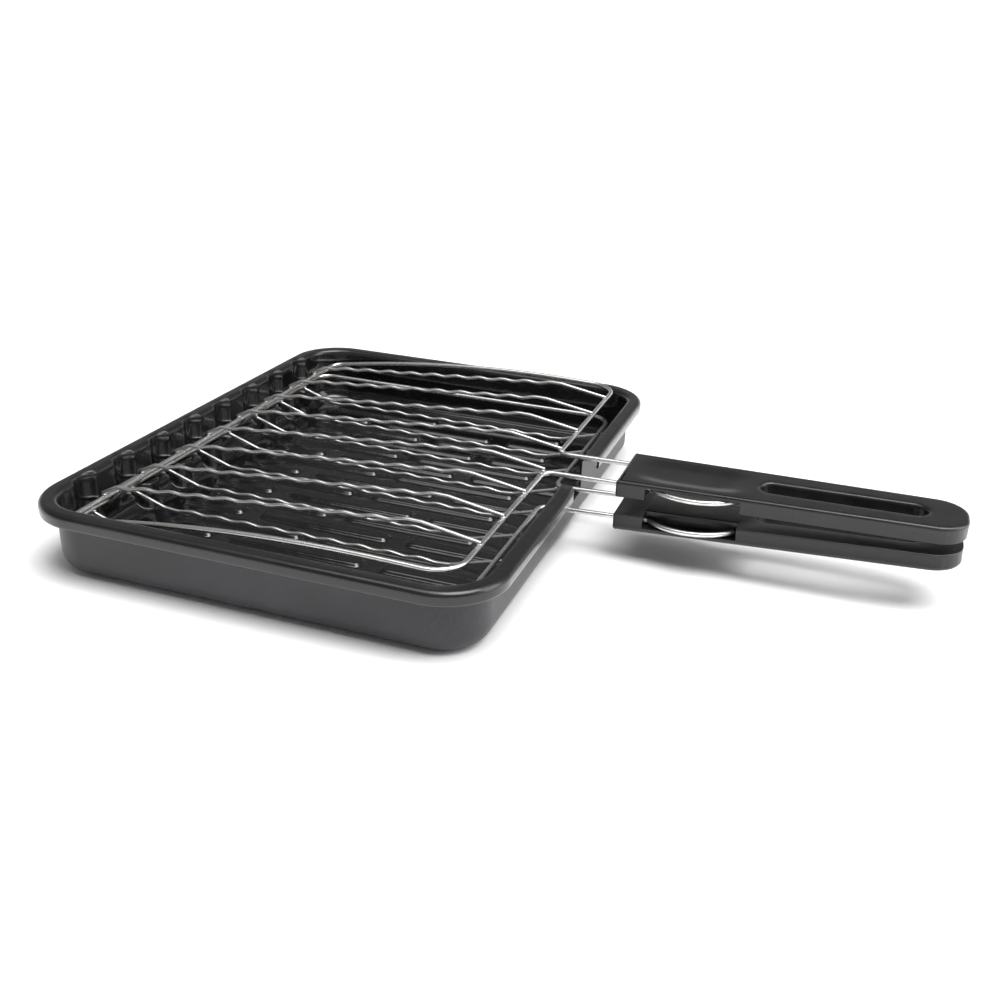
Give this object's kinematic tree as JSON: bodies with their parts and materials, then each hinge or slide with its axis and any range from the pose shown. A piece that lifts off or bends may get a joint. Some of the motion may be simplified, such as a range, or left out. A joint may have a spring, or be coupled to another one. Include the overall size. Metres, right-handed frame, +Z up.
{
  "type": "covered fish grill pan",
  "caption": "Rectangular enamelled drip pan with a hinged double-sided wire grid that clamps food between two long slotted handles and lifts out of the pan.",
  "frame": {"origin": "centre of the pan's flat base", "axes": "+X towards the handles, +Y to the left seen from the handle end, +Z up"},
  "size_m": [0.3558, 0.254, 0.0399],
  "materials": {
    "enamel": "black enamel, gloss inside and speckled satin outside",
    "wire": "bright plated steel wire",
    "clip_steel": "plain plated strip",
    "phenolic": "semi-gloss black moulding"
  },
  "bodies": {
    "pan": {"drip_pan": "enamel"},
    "lower_grid": {"lower_frame": "wire", "lower_wire_1": "wire", "lower_wire_2": "wire", "lower_wire_3": "wire", "lower_wire_4": "wire", "lower_wire_5": "wire", "lower_wire_6": "wire", "lower_wire_7": "wire", "lower_wire_8": "wire", "hinge_clip_front": "clip_steel", "hinge_clip_rear": "clip_steel", "lower_release_spring_front": "wire", "lower_release_spring_rear": "wire"},
    "upper_grid": {"upper_frame": "wire", "upper_wire_1": "wire", "upper_wire_2": "wire", "upper_wire_3": "wire", "upper_wire_4": "wire", "upper_wire_5": "wire", "upper_wire_6": "wire", "upper_wire_7": "wire", "upper_wire_8": "wire", "upper_release_spring_front": "wire", "upper_release_spring_rear": "wire"},
    "upper_grip": {"upper_handle": "phenolic"},
    "lower_grip": {"lower_handle": "phenolic"}
  },
  "joints": [
    {"name": "grid_lift", "type": "slide", "parent": "pan", "child": "lower_grid", "axis": [0, 0, 1], "range_m": [0, 0.12]},
    {"name": "lid_hinge", "type": "hinge", "parent": "lower_grid", "child": "upper_grid", "pos_m": [-0.0831, 0, 0.023], "axis": [0, -1, 0], "range_deg": [0, 75]},
    {"name": "upper_handle_pull", "type": "slide", "parent": "upper_grid", "child": "upper_grip", "axis": [0.9999, 0, 0.014], "range_m": [0, 0.06], "deforming": ["upper_release_spring_front", "upper_release_spring_rear"]},
    {"name": "lower_handle_pull", "type": "slide", "parent": "lower_grid", "child": "lower_grip", "axis": [0.9991, 0, 0.0419], "range_m": [0, 0.06], "deforming": ["lower_release_spring_front", "lower_release_spring_rear"]}
  ]
}
